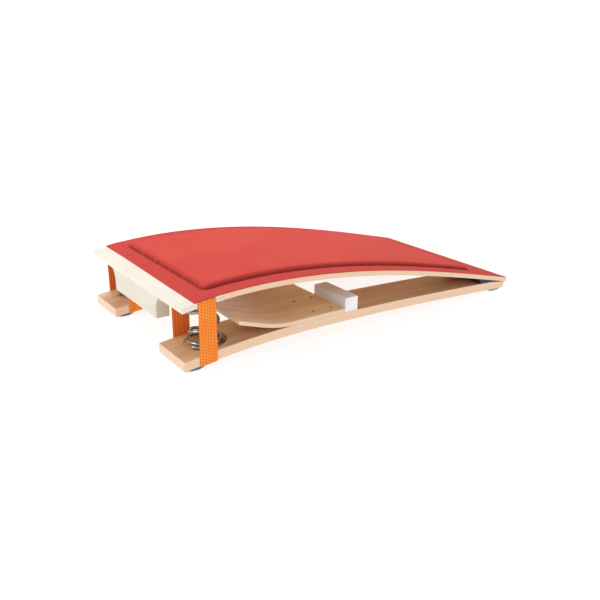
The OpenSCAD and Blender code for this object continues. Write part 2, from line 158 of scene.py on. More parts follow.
class Shader:
    """A procedural material, built a node at a time round its Principled shader."""

    def __init__(self, name, **constants):
        self.material = bpy.data.materials.new(name)
        self.material.use_nodes = True
        self.tree = self.material.node_tree
        self.surface = self.tree.nodes["Principled BSDF"]
        for key, value in constants.items():
            self.surface.inputs[key.replace("_", " ")].default_value = value
        self.place = self.put("ShaderNodeTexCoord").outputs["Object"]
        self.facing = self.put("ShaderNodeTexCoord").outputs["Normal"]

    def put(self, kind, inputs=None, **settings):
        node = self.tree.nodes.new(kind)
        for key, value in settings.items():
            setattr(node, key, value)
        for key, value in (inputs or {}).items():
            self.feed(node.inputs[key], value)
        return node

    def feed(self, socket, value):
        if isinstance(value, bpy.types.NodeSocket):
            self.tree.links.new(value, socket)
        else:
            socket.default_value = value

    def math(self, operation, a, b=0.0, c=0.0):
        return self.put("ShaderNodeMath", {0: a, 1: b, 2: c}, operation=operation).outputs[0]

    def times(self, a, b):
        return self.math("MULTIPLY", a, b)

    def plus(self, a, b):
        return self.math("ADD", a, b)

    def less(self, a, b):
        return self.math("SUBTRACT", a, b)

    def split(self, vector):
        return self.put("ShaderNodeSeparateXYZ", {0: vector}).outputs

    def noise(self, scale, detail=3.0, rough=0.55, at=None):
        """Noise over the object: one scale, or one for each axis."""
        at = self.place if at is None else at
        if isinstance(scale, tuple):
            at = self.put("ShaderNodeVectorMath", {0: at, 1: scale}, operation="MULTIPLY").outputs[0]
            scale = 1.0
        inputs = {"Vector": at, "Scale": scale, "Detail": detail, "Roughness": rough}
        return self.put("ShaderNodeTexNoise", inputs).outputs["Fac"]

    def cells(self, scale, output):
        return self.put("ShaderNodeTexVoronoi", {"Vector": self.place, "Scale": scale}).outputs[output]

    def draw(self, number):
        """A different share of 1 for each whole number."""
        return self.put("ShaderNodeTexWhiteNoise", {"W": number}, noise_dimensions="1D").outputs["Value"]

    def attribute(self, name, output):
        return self.put("ShaderNodeAttribute", attribute_name=name).outputs[output]

    def fade(self, value, low, high, to_low=0.0, to_high=1.0):
        inputs = {"Value": value, "From Min": low, "From Max": high, "To Min": to_low, "To Max": to_high}
        return self.put("ShaderNodeMapRange", inputs, interpolation_type="SMOOTHSTEP").outputs["Result"]

    def mix(self, share, a, b, blend="MIX"):
        node = self.put("ShaderNodeMix", data_type="RGBA", blend_type=blend)
        self.feed(node.inputs[0], share)
        self.feed(node.inputs[6], a)
        self.feed(node.inputs[7], b)
        return node.outputs[2]

    def mottle(self, noise, a, b):
        """One colour into the other with a noise."""
        return self.mix(self.fade(noise, 0.3, 0.7), a, b)

    def curve(self, value, xs, ys):
        """A number looked up on a line of (x, y) corners, both scaled into 0 to 1."""
        low, span, top = float(xs[0]), float(xs[-1] - xs[0]), float(max(ys))
        node = self.put("ShaderNodeFloatCurve")
        points = node.mapping.curves[0].points
        for i, (x, y) in enumerate(zip(xs, ys)):
            at = ((float(x) - low) / span, float(y) / top)
            if i < 2:
                points[i].location = at
                points[i].handle_type = "VECTOR"
            else:
                points.new(*at).handle_type = "VECTOR"
        node.mapping.update()
        scaled = self.math("DIVIDE", self.less(value, low), span)
        self.feed(node.inputs["Value"], scaled)
        return self.times(node.outputs["Value"], top)

    def bump(self, height, distance, strength):
        inputs = {"Height": height, "Distance": distance, "Strength": strength}
        return self.put("ShaderNodeBump", inputs).outputs["Normal"]

    def finish(self, colour, roughness, normal=None):
        for key, value in (("Base Color", colour), ("Roughness", roughness), ("Normal", normal)):
            if value is not None:
                self.feed(self.surface.inputs[key], value)
        return self.material


def rgb(r, g, b):
    """A colour given as it looks on a screen, 0 to 255, as the shader's linear colour."""
    return (*[((c / 255 + 0.055) / 1.055) ** 2.4 for c in (r, g, b)], 1.0)


# ---------------------------------------------------------------- wood and coatings

# noise scales along, across and up the board
FIGURE_SCALE = (2.6, 34, 34)
FIBRE_SCALE = (22, 520, 520)
FLECK_SCALE = (130, 1100, 900)
STREAK_SCALE = (9, 9, 300)
PORE_SCALE = (700, 700, 1500)
BRUSH_SCALE = (260, 8, 60)
SCUFF_SCALE = (90, 26, 70)

BEECH_LIGHT, BEECH_DARK = rgb(230, 187, 144), rgb(214, 166, 122)
BEECH_FLECK, BEECH_FIBRE, BEECH_CLOUD = rgb(168, 118, 80), rgb(186, 140, 102), rgb(224, 186, 146)
LONG_LAYER = rgb(248, 215, 186), rgb(242, 207, 178)
CROSS_LAYER = rgb(238, 201, 168), rgb(224, 183, 147)
LAYER_TINT, GLUE_LINE = rgb(214, 174, 138), rgb(170, 122, 88)
SCUFF = rgb(196, 178, 146)

# painted light: the faces are painted lighter where the wood runs out at the feet
FEET_LIGHT_FROM, FEET_LIGHT_TO = runner_lo.x + 150 * MM, runner_lo.x + 60 * MM
FEET_PAINTED_LIGHT = (1.22, 1.24, 1.26, 1.0)


def plywood(name, line, thickness, layers, painted_light):
    """Lacquered beech ply: long grain on the faces, thin layers that follow the bent plank on its edges. The
    faces carry painted light and shade: each board's own factor, and lighter at the feet.
    """
    s = Shader(name, Coat_Weight=0.25, Coat_Roughness=0.3, Specular_IOR_Level=0.4)
    x, _, z = s.split(s.place)
    figure = s.noise(FIGURE_SCALE, 4.0)
    fibre = s.noise(FIBRE_SCALE, 3.0, 0.7)
    fleck = s.fade(s.noise(FLECK_SCALE, 2.0), 0.62, 0.74)
    face = s.mottle(figure, BEECH_LIGHT, BEECH_DARK)
    face = s.mix(s.times(fleck, 0.35), face, BEECH_FLECK)
    face = s.mix(s.fade(fibre, 0.35, 0.75, 0.0, 0.22), face, BEECH_FIBRE)
    face = s.mix(s.fade(s.noise(5.0, 2.0), 0.35, 0.7, 0.0, 0.3), face, BEECH_CLOUD)
    # painted light and shade: the faces multiplied by the board's own factor
    face = s.mix(1.0, face, (*painted_light, 1.0), "MULTIPLY")
    # painted light on the foot tops
    face = s.mix(s.fade(x, FEET_LIGHT_TO, FEET_LIGHT_FROM, 1.0, 0.0), face, FEET_PAINTED_LIGHT, "MULTIPLY")

    layer = s.math("DIVIDE", s.less(z, s.curve(x, *line)), thickness / layers)
    index = s.math("FLOOR", layer)
    long_layer = s.mottle(s.noise(STREAK_SCALE), *LONG_LAYER)
    cross_layer = s.mix(s.fade(s.noise(PORE_SCALE, 2.0), 0.35, 0.7), *CROSS_LAYER)
    edge = s.mix(s.math("MODULO", index, 2.0), long_layer, cross_layer)
    edge = s.mix(s.times(s.draw(index), 0.25), edge, LAYER_TINT)
    glue = s.fade(s.math("ABSOLUTE", s.less(s.math("FRACT", layer), 0.5)), 0.42, 0.5)
    edge = s.mix(s.times(glue, 0.3), edge, GLUE_LINE)

    on_face = s.fade(s.math("ABSOLUTE", s.split(s.facing)[2]), 0.6, 0.85)
    grain = s.math("MULTIPLY_ADD", fleck, -0.8, fibre)
    relief = s.plus(s.times(grain, on_face), s.times(glue, -0.8))
    roughness = s.fade(figure, 0.2, 0.8, 0.34, 0.48)
    return s.finish(s.mix(on_face, edge, face), roughness, s.bump(relief, 0.12 * MM, 0.6))


def ivory_coat(name, light, dark):
    """Brushed ivory paint with orange peel and a few scuffs."""
    s = Shader(name, Coat_Weight=0.3, Coat_Roughness=0.2)
    brush = s.noise(BRUSH_SCALE)
    colour = s.mottle(s.noise(7.0), light, dark)
    scuff = s.fade(s.noise(SCUFF_SCALE, 5.0, 0.7), 0.66, 0.8)
    colour = s.mix(s.times(scuff, 0.22), colour, SCUFF)
    height = s.math("MULTIPLY_ADD", brush, 0.6, s.noise(420.0, 2.0))
    return s.finish(colour, s.fade(brush, 0.3, 0.7, 0.32, 0.44), s.bump(height, 0.06 * MM, 0.5))


# ---------------------------------------------------------------- cloth and webbing

WEAVE_PITCH = 1.15 * MM
# noise scales along, across and up the board
SLUB_SCALE, CROSS_SCALE = (60, 900, 60), (900, 60, 60)
RED_LIGHT, RED_DARK = rgb(219, 80, 68), rgb(212, 73, 62)
RED_SLUB, RED_CROSS, RED_GAP = rgb(190, 56, 50), rgb(230, 92, 80), rgb(150, 38, 36)
RED_BORDER, RED_ROLL_SHADE = rgb(190, 60, 58), rgb(132, 28, 28)
RED_FOLD_SHADE, RED_SEAM_SHADE = rgb(104, 16, 18), rgb(110, 22, 24)
RED_SHEEN = rgb(255, 190, 175)
THREAD_DARK, THREAD_LIGHT = rgb(122, 30, 30), rgb(164, 48, 44)
THREAD_TWIST = 6000.0

# the seam is a rounded rectangle just outside the foam
SEAM_X = (foam_lo.x + foam_hi.x) / 2
SEAM_HALF_X = (foam_hi.x - foam_lo.x) / 2 + 1.0 * MM
SEAM_HALF_Y = (foam_hi.y - foam_lo.y) / 2 + 1.0 * MM
SEAM_R = 19 * MM
SEAM_LINE = -1.0 * MM


def pad_shape(s):
    """In the shader: how far a point of the cover lies outside the seam, and 1 along the seam's long runs."""
    x, y, _ = s.split(s.place)
    px = s.less(s.math("ABSOLUTE", s.less(x, SEAM_X)), SEAM_HALF_X - SEAM_R)
    py = s.less(s.math("ABSOLUTE", y), SEAM_HALF_Y - SEAM_R)
    ox, oy = s.math("MAXIMUM", px, 0.0), s.math("MAXIMUM", py, 0.0)
    out = s.math("SQRT", s.plus(s.times(ox, ox), s.times(oy, oy)))
    inner = s.math("MINIMUM", s.math("MAXIMUM", px, py), 0.0)
    long_run = s.fade(s.less(py, px), -8 * MM, 14 * MM)
    return s.less(s.plus(out, inner), SEAM_R), long_run


def red_cloth():
    """Woven cover cloth: flatter and darker outside the seam, with painted shade where it rolls down and
    gathers and along the seam's groove.
    """
    s = Shader("red_cloth", Sheen_Weight=0.06, Sheen_Roughness=0.5, Sheen_Tint=RED_SHEEN,
               Specular_IOR_Level=0.12)
    x, y, _ = s.split(s.place)
    warp = s.math("SINE", s.times(x, TAU / WEAVE_PITCH))
    weft = s.math("SINE", s.times(y, TAU / WEAVE_PITCH))
    weave = s.times(warp, weft)
    slub, cross = s.noise(SLUB_SCALE), s.noise(CROSS_SCALE)
    fuzz = s.noise(1500.0, 2.0)
    colour = s.mottle(s.noise(4.5), RED_LIGHT, RED_DARK)
    colour = s.mix(s.fade(slub, 0.45, 0.75, 0.0, 0.28), colour, RED_SLUB)
    colour = s.mix(s.fade(cross, 0.45, 0.75, 0.0, 0.22), colour, RED_CROSS)
    colour = s.mix(s.fade(weave, -0.6, 0.9, 0.22, 0.0), colour, RED_GAP)

    out, long_run = pad_shape(s)
    colour = s.mix(s.fade(out, -2 * MM, 5 * MM, 0.0, 0.55), colour, RED_BORDER)
    # painted shade where the pad rolls down to the seam, stronger along the long runs
    roll_shade = s.times(s.fade(out, -26 * MM, -2 * MM), s.fade(out, 0.0, 2 * MM, 1.0, 0.0))
    roll_shade = s.times(roll_shade, s.math("MULTIPLY_ADD", long_run, 0.62, 0.22))
    colour = s.mix(roll_shade, colour, RED_ROLL_SHADE)

    phase = s.attribute("phase", "Fac")
    wave = s.math("MULTIPLY_ADD", s.math("COSINE", s.times(phase, TAU)), 0.5, 0.5)
    uneven = s.math("MULTIPLY_ADD", s.draw(s.math("FLOOR", s.plus(phase, 0.5))), 1.0, 0.25)
    # painted shade in the folds of the gathers just inside the seam
    fold_shade = s.times(s.times(s.math("POWER", wave, 2.0), uneven), s.fade(out, -15 * MM, -2 * MM))
    fold_shade = s.times(fold_shade, s.fade(out, 0.0, 5 * MM, 1.0, 0.0))
    fold_shade = s.times(fold_shade, s.math("MULTIPLY_ADD", long_run, -0.35, 1.0))
    colour = s.mix(fold_shade, colour, RED_FOLD_SHADE)

    # painted shade along the seam's groove
    from_seam = s.math("ABSOLUTE", s.less(out, SEAM_LINE))
    colour = s.mix(s.fade(from_seam, 0.6 * MM, 3.4 * MM, 0.5, 0.0), colour, RED_SEAM_SHADE)
    height = s.plus(weave, s.plus(fuzz, s.plus(slub, cross)))
    return s.finish(colour, s.fade(fuzz, 0.3, 0.7, 0.78, 0.92), s.bump(height, 0.16 * MM, 0.7))


def seam_thread():
    s = Shader("seam_thread", Sheen_Weight=0.2)
    x, y, _ = s.split(s.place)
    twist = s.math("SINE", s.times(s.plus(x, y), THREAD_TWIST))
    colour = s.mix(s.fade(twist, -0.8, 0.8), THREAD_DARK, THREAD_LIGHT)
    return s.finish(colour, 0.7, s.bump(twist, 0.1 * MM, 0.5))


RIBS = 6
DOT_PITCH = 8.4 * MM
YARN_PITCH = 1.5 * MM
CHEVRON_RISE = 1.1 * MM
WEBBING_SLUB_SCALE = (60, 260, 1)
ORANGE_LIGHT, ORANGE_DARK = rgb(255, 152, 50), rgb(255, 140, 42)
ORANGE_YARN, ORANGE_SLUB, ORANGE_DOT = rgb(236, 108, 26), rgb(255, 170, 84), rgb(190, 82, 20)
ORANGE_INSIDE, ORANGE_GROOVE_SHADE = rgb(248, 112, 50), rgb(150, 44, 12)
ORANGE_SHEEN = rgb(255, 200, 140)


def orange_webbing():
    """Woven webbing: yarns all over, stitched dots between the outer ribs, painted shade in the grooves
    inside the loop.
    """
    s = Shader("orange_webbing", Sheen_Weight=0.3, Sheen_Roughness=0.4, Sheen_Tint=ORANGE_SHEEN,
               Specular_IOR_Level=0.3)
    weave = s.attribute("weave", "Vector")
    across, along, outer = s.split(weave)
    column = s.times(across, float(RIBS))
    shifted = s.plus(column, 0.5)
    in_groove = s.fade(s.math("PINGPONG", shifted, 0.5), 0.3, 0.42)
    stagger = s.times(s.math("MODULO", s.math("FLOOR", shifted), 2.0), 0.5)
    beat = s.math("PINGPONG", s.plus(s.math("DIVIDE", along, DOT_PITCH), stagger), 0.5)
    dot = s.times(s.times(s.fade(beat, 0.28, 0.38), in_groove), outer)
    chevron = s.math("PINGPONG", s.times(column, 2.0), 1.0)
    yarn = s.math("SINE", s.times(s.math("MULTIPLY_ADD", chevron, CHEVRON_RISE, along), TAU / YARN_PITCH))
    slub = s.noise(WEBBING_SLUB_SCALE, at=weave)
    colour = s.mottle(s.noise(16.0, 2.0), ORANGE_LIGHT, ORANGE_DARK)
    colour = s.mix(s.fade(yarn, -0.7, 0.8, 0.4, 0.0), colour, ORANGE_YARN)
    colour = s.mix(s.fade(slub, 0.5, 0.8, 0.0, 0.3), colour, ORANGE_SLUB)
    inner = s.less(1.0, outer)
    colour = s.mix(s.times(inner, 0.5), colour, ORANGE_INSIDE)
    # painted shade in the grooves of the loop's inner face
    colour = s.mix(s.times(s.times(in_groove, inner), 0.36), colour, ORANGE_GROOVE_SHADE)
    colour = s.mix(dot, colour, ORANGE_DOT)
    height = s.less(s.times(yarn, 0.5), s.times(dot, 2.5))
    return s.finish(colour, 0.75, s.bump(height, 0.3 * MM, 0.7))


# ---------------------------------------------------------------- steel, foam and rubber

DRAWN_SCALE, TURNED_SCALE = (60, 60, 500), (900, 900, 60)
CHROME, CHROME_PIT = rgb(160, 158, 156), rgb(84, 80, 76)
FOAM_LIGHT, FOAM_DARK, FOAM_CELL = rgb(243, 243, 243), rgb(234, 234, 235), rgb(204, 204, 206)
RUBBER_GRIT = rgb(110, 110, 112)


def chrome_wire():
    s = Shader("chrome_wire", Metallic=1.0)
    drawn = s.noise(DRAWN_SCALE)
    pit = s.fade(s.noise(700.0, 2.0), 0.66, 0.8)
    colour = s.mix(s.times(pit, 0.4), CHROME, CHROME_PIT)
    return s.finish(colour, s.fade(drawn, 0.3, 0.7, 0.04, 0.1), s.bump(drawn, 0.03 * MM, 0.4))


def plated_steel(name, light, dark, smooth, rough):
    """Turned and zinc-plated steel, with the plating's spangle."""
    s = Shader(name, Metallic=1.0)
    turned = s.noise(TURNED_SCALE)
    colour = s.mix(0.14, s.mottle(turned, light, dark), s.cells(420.0, "Color"), "SOFT_LIGHT")
    return s.finish(colour, s.fade(turned, 0.3, 0.7, smooth, rough), s.bump(turned, 0.04 * MM, 0.5))


def white_foam():
    s = Shader("white_foam", Subsurface_Weight=0.15, Subsurface_Scale=0.004, Specular_IOR_Level=0.3)
    cells = s.cells(620.0, "Distance")
    colour = s.mottle(s.noise(22.0), FOAM_LIGHT, FOAM_DARK)
    colour = s.mix(s.fade(cells, 0.1, 0.6, 0.16, 0.0), colour, FOAM_CELL)
    return s.finish(colour, 0.62, s.bump(cells, 0.2 * MM, 0.5))


def rubber(name, light, dark, rib_pitch):
    """Moulded rubber with fine ribs across the board and a dusty bloom."""
    s = Shader(name, Specular_IOR_Level=0.35)
    ribs = s.math("SINE", s.times(s.split(s.place)[0], TAU / rib_pitch))
    grit = s.noise(900.0)
    bloom = s.noise(28.0, 4.0)
    colour = s.mix(s.fade(bloom, 0.35, 0.7), dark, light)
    colour = s.mix(s.fade(grit, 0.55, 0.8, 0.0, 0.3), colour, RUBBER_GRIT)
    height = s.math("MULTIPLY_ADD", ribs, 0.5, grit)
    return s.finish(colour, s.fade(bloom, 0.3, 0.7, 0.55, 0.75), s.bump(height, 0.15 * MM, 0.7))


# ---------------------------------------------------------------- mesh building

WELD_WITHIN = 0.004 * MM
FLAT_ANGLE, SHARP_ANGLE = math.radians(0.06), math.radians(32)
BEVEL_SEGMENTS = 3


def add_object(name, mesh):
    obj = bpy.data.objects.new(name, mesh)
    bpy.context.scene.collection.objects.link(obj)
    return obj


def new_object(name, verts, faces, material):
    mesh = bpy.data.meshes.new(name)
    mesh.from_pydata([tuple(v) for v in verts], [], [tuple(f) for f in faces])
    mesh.validate()
    for p in mesh.polygons:
        p.use_smooth = True
    mesh.materials.append(material)
    return add_object(name, mesh)


def face_outward(obj):
    b = bmesh.new()
    b.from_mesh(obj.data)
    bmesh.ops.recalc_face_normals(b, faces=b.faces)
    b.to_mesh(obj.data)
    b.free()


def grid_faces(columns, rows):
    """Faces of a grid of points that are numbered down one column after the other."""
    i, j = np.meshgrid(np.arange(columns - 1), np.arange(rows - 1), indexing="ij")
    first = (i * rows + j).ravel()
    return np.stack([first, first + rows, first + rows + 1, first + 1], 1).tolist()


def tube_faces(first, rings, sides):
    """Faces of a closed tube: its rings of points are numbered from first."""
    faces = []
    for i in range(rings - 1):
        for k in range(sides):
            a, b = first + i * sides + k, first + i * sides + (k + 1) % sides
            faces.append((a, b, b + sides, a + sides))
    faces.append([first + k for k in range(sides)][::-1])
    faces.append([first + (rings - 1) * sides + k for k in range(sides)])
    return faces


def add_modifier(obj, kind, **settings):
    m = obj.modifiers.new(kind.lower(), kind)
    for key, value in settings.items():
        setattr(m, key, value)
    return m


def dress(node, material, bevel):
    """A CAD node kept as it is: merged corners, rounded edges, smooth faces and its own material."""
    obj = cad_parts[node]
    mesh = obj.data
    mesh.materials.clear()
    mesh.materials.append(material)
    if "custom_normal" in mesh.attributes:
        mesh.attributes.remove(mesh.attributes["custom_normal"])
    for p in mesh.polygons:
        p.use_smooth = True
        p.material_index = 0
    add_modifier(obj, "WELD", merge_threshold=WELD_WITHIN)
    add_modifier(obj, "DECIMATE", decimate_type="DISSOLVE", angle_limit=FLAT_ANGLE)
    add_modifier(obj, "BEVEL", width=bevel, segments=BEVEL_SEGMENTS, limit_method="ANGLE",
                 angle_limit=SHARP_ANGLE, use_clamp_overlap=False)
    add_modifier(obj, "WEIGHTED_NORMAL", weight=70, keep_sharp=False)


def islands(node):
    """The loose solids of a CAD node, each as its lowest and highest corner."""
    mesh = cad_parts[node].data
    keys = {}
    merged = [keys.setdefault(tuple(np.round(v.co, 5)), len(keys)) for v in mesh.vertices]
    parent = list(range(len(keys)))

    def root(i):
        while parent[i] != i:
            parent[i] = parent[parent[i]]
            i = parent[i]
        return i

    for e in mesh.edges:
        parent[root(merged[e.vertices[0]])] = root(merged[e.vertices[1]])
    groups = {}
    for co, i in keys.items():
        groups.setdefault(root(i), []).append(co)
    return [(Vector(np.min(g, 0)), Vector(np.max(g, 0))) for g in map(np.array, groups.values())]


# ---------------------------------------------------------------- cover

SEAM_STRAIGHT_X, SEAM_STRAIGHT_Y = SEAM_HALF_X - SEAM_R, SEAM_HALF_Y - SEAM_R
SEAM_BEND = SEAM_R * math.pi / 2
SEAM_QUARTER = SEAM_STRAIGHT_Y + SEAM_BEND + SEAM_STRAIGHT_X
STITCHES = round(SEAM_QUARTER / (11 * MM))
STITCH = SEAM_QUARTER / STITCHES
GRID_STEP = 2.8 * MM
BORDER_T = 2.0 * MM
PAD_H = 10.4 * MM
ROLL_W, GATHER_W, LONG_RUN_W = 14 * MM, 10 * MM, 14 * MM
LONG_RUN_FADE = 20 * MM
RIPPLE_H, RIPPLE_FADE, RIPPLE_START = 1.5 * MM, 12 * MM, 3 * MM
PUFF_FADE = 12 * MM
BILLOW_H, BILLOW_FADE = 0.18 * MM, 30 * MM
PUCKER_H, PUCKER_FADE = 0.8 * MM, 7 * MM
SEAM_DEPTH, SEAM_W = 1.3 * MM, 1.7 * MM
OVER_STRAP_H, OVER_STRAP_MARGIN = 0.8 * MM, 8 * MM
OVER_STRAP_START, OVER_STRAP_FADE, OVER_STRAP_END = 4 * MM, 12 * MM, 5 * MM
CREASE_Y, CREASE_SLANT, CREASE_W, CREASE_DEPTH = 40 * MM, 0.3, 3.2 * MM, 1.5 * MM
HEM_W, HEM_LOW = 2.2 * MM, 0.25
HEM_LINES = np.array([0, 0.12, 0.35, 0.65])
SKEW, SKEW_LENGTH, SKEW_SHARE = 7 * MM, 40 * MM, 0.75
UNDER_GAP, TUCK_W = 0.05 * MM, 6 * MM

# the padded sheet's simulation
SHEET_STEPS_X, SHEET_STEPS_Y = 150, 75
SHEET_FRAMES = 20
SHEET_HELD = -7 * MM
PUFF_MOST = 2.2 * MM


def seam_distance(x, y):
    """Distance outside the seam, and the length along the seam within its quarter, for arrays of points."""
    px = np.abs(x - SEAM_X) - SEAM_STRAIGHT_X
    py = np.abs(y) - SEAM_STRAIGHT_Y
    out = np.hypot(np.maximum(px, 0), np.maximum(py, 0)) + np.minimum(np.maximum(px, py), 0) - SEAM_R
    angle = np.arctan2(np.maximum(py, 0), np.maximum(px, 1e-9))
    corner = SEAM_STRAIGHT_Y + SEAM_R * angle
    short = SEAM_STRAIGHT_Y + np.minimum(py, 0)
    long = SEAM_STRAIGHT_Y + SEAM_BEND - np.minimum(px, 0)
    along = np.where((px > 0) & (py > 0), corner, np.where(px > py, short, long))
    return out, along


def seam_point(along):
    """A point in the seam's first quarter, from the seam's centre, and the direction of the seam there."""
    if along < SEAM_STRAIGHT_Y:
        return SEAM_HALF_X, along, math.pi / 2
    if along < SEAM_STRAIGHT_Y + SEAM_BEND:
        a = (along - SEAM_STRAIGHT_Y) / SEAM_R
        x, y = SEAM_STRAIGHT_X + SEAM_R * math.cos(a), SEAM_STRAIGHT_Y + SEAM_R * math.sin(a)
        return x, y, a + math.pi / 2
    return SEAM_STRAIGHT_X - (along - SEAM_STRAIGHT_Y - SEAM_BEND), SEAM_HALF_Y, math.pi


def puffed_sheet():
    """The padded cloth as a flat sheet held at the seam and blown up from inside by a cloth simulation.
    Returns its grid lines and how far each point rose."""
    xs = np.linspace(SEAM_X - SEAM_HALF_X, SEAM_X + SEAM_HALF_X, SHEET_STEPS_X + 1)
    ys = np.linspace(-SEAM_HALF_Y, SEAM_HALF_Y, SHEET_STEPS_Y + 1)
    gx, gy = np.meshgrid(xs, ys, indexing="ij")
    out, _ = seam_distance(gx, gy)
    verts = np.stack([gx, gy, np.zeros_like(gx)], -1).reshape(-1, 3)
    faces = grid_faces(len(xs), len(ys))
    sheet = new_object("puffed_sheet", verts, faces, bpy.data.materials.new("puffed_sheet"))
    pins = sheet.vertex_groups.new(name="pins")
    pins.add([int(i) for i in np.nonzero(out.ravel() > SHEET_HELD)[0]], 1.0, "REPLACE")
    settings = add_modifier(sheet, "CLOTH").settings
    settings.quality = 6
    settings.mass = 0.25
    settings.tension_stiffness = settings.compression_stiffness = 9
    settings.shear_stiffness = 4
    settings.bending_stiffness = 0.6
    settings.shrink_min = settings.shrink_max = -0.0015
    settings.use_pressure = True
    settings.uniform_pressure_force = 4
    settings.vertex_group_mass = "pins"
    settings.effector_weights.gravity = 0
    for f in range(1, SHEET_FRAMES + 1):
        bpy.context.scene.frame_set(f)
    posed = sheet.evaluated_get(bpy.context.evaluated_depsgraph_get())
    co = np.zeros(len(verts) * 3)
    posed.data.vertices.foreach_get("co", co)
    lifted = co.reshape(-1, 3)[:, 2].reshape(gx.shape)
    bpy.context.scene.frame_set(1)
    data = sheet.data
    bpy.data.objects.remove(sheet)
    bpy.data.meshes.remove(data)
    return xs, ys, PUFF_MOST * np.tanh(np.maximum(lifted, 0) / PUFF_MOST)


def sample_grid(xs, ys, values, x, y):
    """Bilinear reading of a regular grid."""
    u = np.clip((x - xs[0]) / (xs[1] - xs[0]), 0, len(xs) - 1.001)
    v = np.clip((y - ys[0]) / (ys[1] - ys[0]), 0, len(ys) - 1.001)
    i, j = u.astype(int), v.astype(int)
    a, b = u - i, v - j
    return (values[i, j] * (1 - a) * (1 - b) + values[i + 1, j] * a * (1 - b)
            + values[i, j + 1] * (1 - a) * b + values[i + 1, j + 1] * a * b)


def quarter_round(t):
    """A height that rises from 0 at t = 0 to 1 at t = 1 like a quarter of a circle."""
    return np.sqrt(np.maximum(0, 1 - (1 - t) ** 2))


def over_strap(x, y, outside):
    """How far the border lies on the strap that runs under it, 0 to 1."""
    middle, half = (strap_lo.x + strap_hi.x) / 2, (strap_hi.x - strap_lo.x) / 2
    over = np.clip(1 - (np.abs(x - middle) / (half + OVER_STRAP_MARGIN)) ** 4, 0, 1)
    over *= 1 / (1 + np.exp(-(np.abs(y) + strap_hi.y - OVER_STRAP_MARGIN) / OVER_STRAP_END))
    past = outside - OVER_STRAP_START
    return np.where(past > 0, over * np.minimum(past / OVER_STRAP_FADE, 1), 0)


def cover_height(x, y, puff):
    """The cloth's height above the deck: flat border, gathered seam, padded middle."""
    out, along = seam_distance(x, y)
    inside, outside = np.maximum(-out, 0), np.maximum(out, 0)
    stitch = 0.5 + 0.5 * np.cos(TAU * along / STITCH)
    uneven = 0.8 + 0.3 * np.sin(73 * x + 1.3) * np.cos(61 * y + 0.7) + 0.15 * np.sin(211 * x - 190 * y)

    long_run = (np.abs(y) - SEAM_HALF_Y - np.abs(x - SEAM_X) + SEAM_HALF_X) / LONG_RUN_FADE + 0.5
    width = ROLL_W + GATHER_W * stitch * uneven + LONG_RUN_W * np.clip(long_run, 0, 1)
    height = BORDER_T + (PAD_H - BORDER_T) * quarter_round(np.clip(inside / width, 0, 1))
    ripple = (stitch - 0.45) * uneven * np.exp(-inside / RIPPLE_FADE)
    height -= RIPPLE_H * ripple * np.minimum(inside / RIPPLE_START, 1)
    height += sample_grid(*puff, x, y) * np.minimum(inside / PUFF_FADE, 1)
    billow = np.sin(31 * x + 9 * y) * np.sin(23 * y - 11 * x)
    height += BILLOW_H * billow * np.minimum(inside / BILLOW_FADE, 1)

    pucker = (stitch - 0.4) * uneven * np.exp(-outside / PUCKER_FADE)
    height -= np.where(out > 0, PUCKER_H * pucker, 0)
    height -= SEAM_DEPTH * np.exp(-(out / SEAM_W) ** 2)
    height += OVER_STRAP_H * over_strap(x, y, outside)
    crease = np.exp(-((y - CREASE_Y - CREASE_SLANT * (x - cover_lo.x)) / CREASE_W) ** 2)
    height -= np.where((out > 0) & (x < SEAM_X), CREASE_DEPTH * crease, 0)

    from_edge = np.minimum(np.minimum(x - cover_lo.x, cover_hi.x - x),
                           np.minimum(y - cover_lo.y, cover_hi.y - y))
    return height * (HEM_LOW + (1 - HEM_LOW) * quarter_round(np.clip(from_edge / HEM_W, 0, 1)))


def hemmed_lines(a, b):
    """Grid lines from a to b, closer together at both ends where the hem rolls over."""
    inner = np.linspace(a + HEM_W, b - HEM_W, int(round((b - a) / GRID_STEP)) + 1)
    near = HEM_LINES * HEM_W
    return np.concatenate([a + near, inner, (b - near)[::-1]])


def laid_on_deck(points):
    """The points moved down on the deck, just clear of it."""
    points = points.copy()
    points[:, 2] = deck_top(points[:, 0]) + UNDER_GAP
    return points


